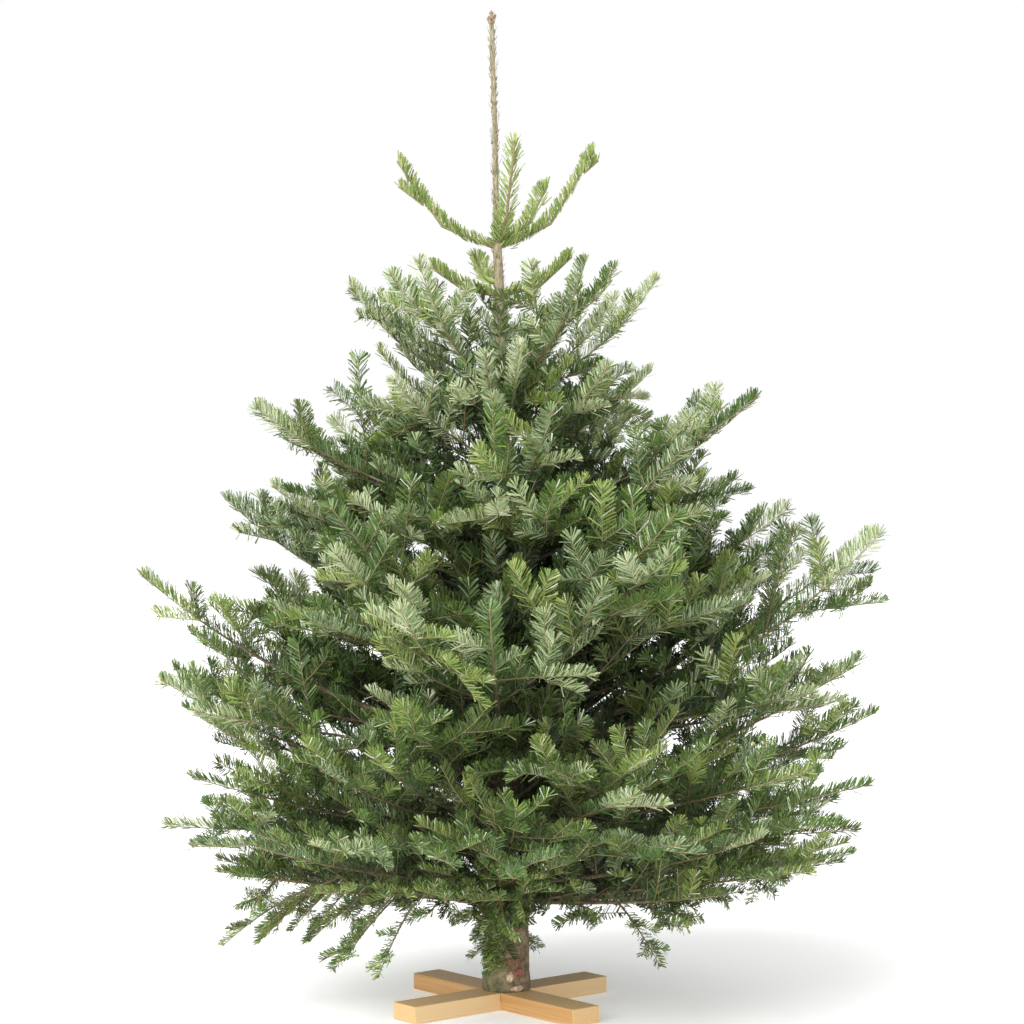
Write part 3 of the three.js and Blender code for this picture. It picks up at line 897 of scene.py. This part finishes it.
def add_buds(name, buds, tints, width):
    """A pointed, ridged oval for each (place, course, length). width is its radius over its length."""
    places, courses, lengths = map(np.array, zip(*buds))
    lengths = lengths[:, None]
    other = np.where(np.abs(courses[:, 2:3]) < 0.9, UP, EAST)
    across = np.cross(courses, other)
    across /= length_of(across)
    third = np.cross(courses, across)
    parts = [places]
    for corner in range(BUD_SIDES):
        angle = 2 * pi * (corner + BUD_WIDEST) / BUD_SIDES
        outward = swung(across, third, angle)
        parts.append(places + courses * lengths * BUD_WIDEST + outward * lengths * width)
    parts.append(places + courses * lengths)
    points = np.stack(parts, axis=1)
    triangles = []
    for corner in range(BUD_SIDES):
        one, two = 1 + corner, 1 + (corner + 1) % BUD_SIDES
        triangles += [(0, two, one), (one, two, BUD_SIDES + 1)]
    faces = repeated(triangles, len(places))
    which = np.repeat(dice.integers(0, len(tints), len(places)), len(triangles))
    materials = plain_materials(tints, 0.35)
    mesh = joined(name, points.reshape(-1, 3), faces, materials, which, smooth=True)
    add_piece(mesh)


def crown_buds():
    """A bud on each young shoot, with two more beside it on the leading ones."""
    buds = []
    end_bud, side_bud = BUD_LENGTHS
    for shoot in shoots:
        if shoot["age"] > 1 or shoot["ring"] and shoot["depth"] > COARSE_DEPTH:
            continue
        course = unit(shoot["end"] - shoot["bend"])
        side = np.cross(course, shoot["up"])
        for turn in (0, 52, -52) if shoot["order"] == 0 else (0,):
            facing = swung(course, side, radians(turn))
            buds.append((shoot["end"] - course * MM, facing, (side_bud if turn else end_bud) * MM))
    add_buds("buds", buds, BUD_TINTS, 0.30)


# ---- The trunk ----
RELIEF_FOOT = 0.48  # below this the bark is drawn finely
FINE_STEP = 3.4 * MM
COARSE_STEP = 9 * MM
TRUNK_SIDES = 72
LOBE_TOP = 0.6  # above this the trunk is round
SMOOTH_TOP = 1.25  # and above this its bark is smooth
BLISTERS = 260
BLISTER_SIZES = (2, 5)  # millimetres
BLISTER_TOP = 1.0
COLLARED_TIERS = range(3, 7)
LUMPS = 60  # of the bark's broad unevenness in a metre
LUMP_RISE = 1.3 * MM
RIPPLES = Vector((220, 220, 120))  # in a metre, closer round the trunk than up it
RIPPLE_RISE = 1.0 * MM
FULL_RELIEF = 30 * MM  # a trunk of this radius has the whole relief
BARK_PATCH = 14.3 * MM
RESIN_FLECK = 5.88 * MM  # from one to the next
BARK_RIPPLE = 3.33 * MM
STREAK_WIDTH = 3.85 * MM
STREAK_LENGTH = 16.7 * MM
WOOD_STAIN = 4.76 * MM
SCAR_SIDES = 18
# Each layer of a scar, from its buried edge: its share of the width and its millimetres of rise.
SCAR_LAYERS = ((1.25, -1.5), (1.0, 1.0), (0.62, 1.4), (0.25, 1.2))


def swell(angle, z, radius, bumps):
    """How far round bumps lift the bark at a place. Each has its turn, its height, its reach, its
    lift, how flat it is and how near it still counts."""
    lift = 0.0
    for round_at, height, reach, rise, flat, near in bumps:
        if abs(z - height) < near:
            turn = (angle - round_at + pi) % (2 * pi) - pi
            away = hypot(turn * radius / flat[0], (z - height) / flat[1]) / reach
            lift += rise * exp(-away * away)
    return lift


def bark_bumps():
    """Resin blisters all over, and a collar where each main bough leaves the trunk."""
    blisters = []
    for _ in range(BLISTERS):
        round_at, height = rng.uniform(0, 2 * pi), rng.uniform(0.03, BLISTER_TOP)
        size = rng.uniform(*BLISTER_SIZES) * MM
        blisters.append((round_at, height, size / sqrt(2), 0.22 * size, (1.5, 1.0), 2 * size))
    collars = []
    for ring in COLLARED_TIERS:
        for index in MASSES:
            plan = PLANS[ring, index]
            size = RINGS[ring]["thick"] * MM
            round_at = atan2(plan["heading"][1], plan["heading"][0])
            collars.append((round_at, plan["foot"][2], 1.5 * size, 0.42 * size, (1.0, 1.25), 3.2 * size))
    return collars + blisters


def bark_relief(angle, z, radius):
    """Ripples that run round the trunk over broader unevenness, in metres."""
    place = Vector((cos(angle) * radius, sin(angle) * radius, z))
    rough = noise.noise(place * LUMPS) * LUMP_RISE + noise.noise(place * RIPPLES) * RIPPLE_RISE
    return rough * min(1.0, radius / FULL_RELIEF)


def detailed_trunk():
    """The trunk with its lobes, collars, resin blisters and rough bark."""
    bumps = bark_bumps()
    low, high = TRUNK_LEVELS[0], TRUNK_LEVELS[-1]
    levels = [*np.arange(low, RELIEF_FOOT, FINE_STEP), *np.arange(RELIEF_FOOT, high, COARSE_STEP), high]
    points = []
    for z in levels:
        middle = trunk_at(z)
        radius = trunk_radius(z)
        for corner in range(TRUNK_SIDES):
            angle = 2 * pi * corner / TRUNK_SIDES
            lobes = 0.030 * sin(3 * angle + 0.6) + 0.022 * sin(2 * angle + 2.1)
            lobes *= max(0.0, 1 - z / LOBE_TOP)
            out = radius * (1 + lobes) * np.interp(z, [1.0, 1.15], [1.0, 0.88])
            if z < SMOOTH_TOP:
                out += bark_relief(angle, z, radius)
            out += swell(angle, z, radius, bumps)
            points.append(tuple(middle + outward_at(angle) * out))
    points += [tuple(trunk_at(low)), tuple(trunk_at(high))]
    faces = ring_quads(TRUNK_SIDES, len(levels) - 1)
    last = (len(levels) - 1) * TRUNK_SIDES
    for corner in range(TRUNK_SIDES):
        after = (corner + 1) % TRUNK_SIDES
        faces.append((len(points) - 2, after, corner))
        faces.append((len(points) - 1, last + corner, last + after))
    bark = bark_material("fir trunk bark", "#9a8c70", "#7e6c52", "#564934", 0.85)
    mesh = new_mesh("trunk_with_bark", [bark])
    mesh.from_pydata(points, [], faces)
    mesh.shade_smooth()
    add_piece(mesh, ["trunk"])


def bark_material(name, pale, middle, dark, film):
    """Smooth young fir bark: brown and grey patches in a thin skin, pale flecks of resin and cross
    ripples, with so much film of green algae on the side away from the sun. Higher up it pales to
    tan."""
    material, tree, shader = new_material(name, 0.82)
    coords = add_node(tree, "TexCoord", "Object")
    patches = add_node(tree, "TexNoise", "Fac",
                       {"Vector": coords, "Scale": 1 / BARK_PATCH, "Detail": 9.0, "Roughness": 0.72})
    bare = add_node(tree, "ValToRGB", "Color", {"Fac": patches},
                    [(0.38, dark), (0.50, middle), (0.62, pale)])
    algae = add_node(tree, "ValToRGB", "Color", {"Fac": patches},
                     [(0.36, "#4f5037"), (0.50, "#6f6e4b"), (0.64, "#8c8a66")])
    across = add_node(tree, "SeparateXYZ", "X", {"Vector": coords})
    edge = add_node(tree, "Math", "Value", {0: patches, 1: 0.05, 2: across}, operation="MULTIPLY_ADD")
    green = add_node(tree, "MapRange", "Result",
                     {"Value": edge, "From Min": 0.045, "From Max": 0.015, "To Max": film})
    skin = add_node(tree, "Mix", "Result", {"Factor": green, "A": bare, "B": algae}, data_type="RGBA")

    flecks = add_node(tree, "TexVoronoi", "Distance", {"Vector": coords, "Scale": 1 / RESIN_FLECK})
    spots = add_node(tree, "ValToRGB", "Color", {"Fac": flecks}, [(0.08, "#ffffff"), (0.20, "#000000")])
    flecked = add_node(tree, "Mix", "Result", {"Factor": spots, "A": skin, "B": linear("#9c9276")},
                       data_type="RGBA")

    streak = (1 / STREAK_WIDTH, 1 / STREAK_WIDTH, 1 / STREAK_LENGTH)
    streaks = add_node(tree, "Mapping", "Vector", {"Vector": coords, "Scale": streak})
    young = add_node(tree, "TexNoise", "Fac", {"Vector": streaks, "Scale": 1.0, "Detail": 4.0})
    downy = add_node(tree, "ValToRGB", "Color", {"Fac": young},
                     [(0.30, "#7f7a5f"), (0.48, "#9b9074"), (0.66, "#b3a489")])
    height = add_node(tree, "SeparateXYZ", "Z", {"Vector": coords})
    paler = add_node(tree, "MapRange", "Result", {"Value": height, "From Min": 0.60, "From Max": 1.10})
    tint = add_node(tree, "Mix", "Result", {"Factor": paler, "A": flecked, "B": downy}, data_type="RGBA")

    ripple = add_node(tree, "TexNoise", "Fac",
                      {"Vector": coords, "Scale": 1 / BARK_RIPPLE, "Detail": 6.0, "Roughness": 0.65})
    relief = add_node(tree, "Bump", "Normal", {"Height": ripple, "Strength": 0.8, "Distance": 1.6 * MM})
    feed(shader, {"Base Color": tint, "Normal": relief})
    return material


def scar_material(name, dark, pale, roughness):
    """Sawn or torn wood, mottled where resin and weather have stained it."""
    material, tree, shader = new_material(name, roughness)
    coords = add_node(tree, "TexCoord", "Object")
    stain = add_node(tree, "TexNoise", "Fac",
                     {"Vector": coords, "Scale": 1 / WOOD_STAIN, "Detail": 6.0, "Roughness": 0.7})
    tint = add_node(tree, "ValToRGB", "Color", {"Fac": stain}, [(0.36, dark), (0.62, pale)])
    feed(shader, {"Base Color": tint})
    return material


def scar_points(turn, height, half_width, half_height):
    """A low, uneven oval on the bark, in layers from its buried edge to its middle."""
    out = outward_at(radians(turn))
    across = np.cross(out, UP)
    middle = trunk_at(height)
    radius = trunk_radius(height)
    points = []
    for share, rise in SCAR_LAYERS:
        for corner in range(SCAR_SIDES):
            around = 2 * pi * corner / SCAR_SIDES
            uneven = share * (1 + 0.08 * sin(3 * around + turn) + rng.gauss(0, 0.06)) * MM
            beside = cos(around) * half_width * uneven
            shift = across * beside + UP * sin(around) * half_height * uneven
            sag = radius - sqrt(max(radius ** 2 - beside ** 2, 0))
            points.append(middle + out * (radius - sag + rise * MM) + shift)
    return points


def knot_scars():
    """Where low boughs were sawn off: uneven stubs with a paler face, resin dried beside one, and a
    splinter torn off at the saw cut. Each has its turn, its height and half its width and height."""
    materials = [
        scar_material("pale cut face of a bough", "#9c7454", "#ead6bd", 0.7),
        scar_material("weathered cut face of a bough", "#4a3b2c", "#8a694e", 0.8),
        scar_material("dried red brown resin", "#6a3a2c", "#a4604d", 0.35),
    ]
    pale, weathered, resin = range(3)
    scars = [
        (pale, -80, 0.053, 5.5, 7.5), (weathered, -69, 0.076, 15, 11), (resin, -54, 0.060, 9, 6.5),
        (pale, -62, 0.034, 11, 4), (pale, -80, 0.138, 5, 10), (weathered, -74, 0.128, 13, 17),
        (weathered, 158, 0.096, 8, 10), (weathered, 62, 0.110, 8, 10), (pale, 66, 0.112, 4, 5),
    ]
    inmost = SCAR_SIDES * (len(SCAR_LAYERS) - 1)
    shape = ring_quads(SCAR_SIDES, len(SCAR_LAYERS) - 1) + [range(inmost, inmost + SCAR_SIDES)]
    points, faces, which = [], [], []
    for material, *place in scars:
        # Each face runs backwards from its first corner, so that it looks outwards.
        faces += [[len(points) + face[-corner] for corner in range(len(face))] for face in shape]
        which += [material] * len(shape)
        points += scar_points(*place)
    mesh = new_mesh("knot_scars", materials)
    mesh.from_pydata(points, [], faces)
    mesh.polygons.foreach_set("material_index", which)
    mesh.shade_smooth()
    add_piece(mesh)


# ---- The leader ----
LEADER_NEEDLES = 640
LOW_NEEDLE_SHARE = 0.3  # of them are below the last whorl
LEADER_LOW = (1.02, 1.29)  # metres up
LEADER_HIGH = (1.285, 1.666)
LEADER_LEAN = (12, 46)  # degrees from straight up
LEADER_NEEDLE_LENGTHS = (7, 14)
# The leader's needles dry first: tan and brown, with no shine left.
DRY_TINTS = [("dry tan needle", "#96896c"), ("dry brown needle", "#77694f"),
             ("leader needle green", "#84925a")]
DRY_SHARES = [0.55, 0.25, 0.20]
TIP_BUDS = 9  # the last one points straight up
TIP_BUD_LENGTH = 10.5 * MM
LEADER_SIDE_BUDS = 6
SIDE_BUD_HEIGHTS = (1.32, 1.65)
SIDE_BUD_LENGTHS = (6, 9)


def leader_needles():
    """The leader's sparse, pressed-down needles."""
    total = LEADER_NEEDLES
    z = np.sort(np.where(dice.random(total) < LOW_NEEDLE_SHARE, dice.uniform(*LEADER_LOW, total),
                         dice.uniform(*LEADER_HIGH, total)))
    around = dice.uniform(0, 2 * pi, total)
    outward = np.stack([np.cos(around), np.sin(around), np.zeros(total)], axis=1)
    middle = np.array([trunk_at(height) for height in z])
    radius = trunk_radius(z)
    course = swung(UP, outward, np.radians(dice.uniform(*LEADER_LEAN, total))[:, None])
    root = middle + outward * (radius * 0.9)[:, None]
    size = dice.uniform(*LEADER_NEEDLE_LENGTHS, (total, 1)) * MM
    across = np.cross(outward, UP) * 0.75 * MM
    points = needle_points(BENT_NEEDLE, root, course * size, outward * (size * -0.12), across)
    which = np.repeat(dice.choice(3, total, p=DRY_SHARES), len(BENT_FACES))
    faces = repeated(BENT_FACES, total)
    mesh = joined("leader_needles", points, faces, plain_materials(DRY_TINTS, 0.6), which)
    add_piece(mesh)


def leader_buds():
    """A tight knot of buds on the leader's tip and a few pressed to its sides."""
    buds = []
    tip = trunk_at(TRUNK_LEVELS[-1])
    for number in range(TIP_BUDS):
        topmost = number == TIP_BUDS - 1
        course = unit(swung(UP, outward_at(2.4 * number), 0.0 if topmost else 0.95))
        buds.append((tip - UP * (8 if topmost else 11 + 1.5 * number) * MM, course, TIP_BUD_LENGTH))
    for _ in range(LEADER_SIDE_BUDS):
        height = rng.uniform(*SIDE_BUD_HEIGHTS)
        outward = outward_at(rng.uniform(0, 2 * pi))
        place = trunk_at(height) + outward * trunk_radius(height) * 0.7
        buds.append((place, unit(outward * 0.6 + UP), rng.uniform(*SIDE_BUD_LENGTHS) * MM))
    add_buds("leader_buds", buds, LEADER_BUD_TINTS, 0.42)


# ---- The stand ----
STAND_TURN = 40  # degrees between +X and the lower board
BOARD = (420, 58, 28)  # millimetres
EASED_EDGE = 1.3 * MM
GROWTH_LINE = 1.84  # millimetres from one line to the next
WAVER = (262.5, 4.03, 3.5)  # and how far along, across and through a board the lines waver
WAVE_LINE = pi / 10  # from one line to the next in a wave texture of scale 1


def pine_material():
    """Planed pine: growth lines about 2 mm apart that run with the board, honey lines in pale wood
    and a low sheen."""
    material, tree, shader = new_material("planed pine board", 0.55)
    coords = add_node(tree, "TexCoord", "Generated")  # from 0 to 1 over a board
    wavers = [size / waver for size, waver in zip(BOARD, WAVER)]
    stretched = add_node(tree, "Mapping", "Vector", {"Vector": coords, "Scale": wavers})
    warp = add_node(tree, "TexNoise", "Fac", {"Vector": stretched, "Scale": 1.0, "Detail": 5.0})
    scale = WAVE_LINE * WAVER[1] / GROWTH_LINE
    lines = add_node(tree, "TexWave", "Fac",
                     {"Vector": stretched, "Scale": scale, "Distortion": 3.0, "Detail": 3.0},
                     bands_direction="Y")
    both = add_node(tree, "Mix", "Result", {"Factor": 0.45, "A": lines, "B": warp}, data_type="FLOAT")
    tint = add_node(tree, "ValToRGB", "Color", {"Fac": both},
                    [(0.2, "#e3c393"), (0.55, "#d9b37c"), (0.8, "#c3935a")])
    relief = add_node(tree, "Bump", "Normal", {"Height": both, "Strength": 0.2, "Distance": 0.4 * MM})
    feed(shader, {"Base Color": tint, "Normal": relief})
    return material


def planed_board(node, turn, pine):
    """A board of the cross with its edges eased, drawn along X and turned into place, so that the
    growth lines run with its length."""
    bm = bmesh.new()
    bm.from_mesh(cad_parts[node].data)
    bmesh.ops.rotate(bm, cent=(0, 0, 0), matrix=Matrix.Rotation(-turn, 3, "Z"), verts=bm.verts)
    bmesh.ops.remove_doubles(bm, verts=bm.verts, dist=0.01 * MM)
    bmesh.ops.dissolve_limit(bm, angle_limit=0.02, verts=bm.verts, edges=bm.edges)
    sharp = [edge for edge in bm.edges if len(edge.link_faces) == 2 and edge.calc_face_angle() > 0.5]
    bmesh.ops.bevel(bm, geom=sharp, offset=EASED_EDGE, segments=3, profile=0.5, affect="EDGES")
    mesh = new_mesh(node + "_planed", [pine])
    bm.to_mesh(mesh)
    bm.free()
    add_piece(mesh, [node], turn)


def stand():
    pine = pine_material()
    turn = radians(STAND_TURN)
    planed_board("stand_board_lower", turn, pine)
    planed_board("stand_board_upper", turn + pi / 2, pine)


# ---- The tree ----
LONE_SHOOTS = sorted(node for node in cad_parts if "_shoot_" in node)

add_camera()
white_room()
studio_floor()

grow_crown()
grow_trunk_sprays()
grow_low_sprays()
grow_lone_shoots()
grow_foot_sprigs()

crown_needles()
limbs_and_twigs()
crown_buds()
detailed_trunk()
knot_scars()
leader_needles()
leader_buds()
stand()
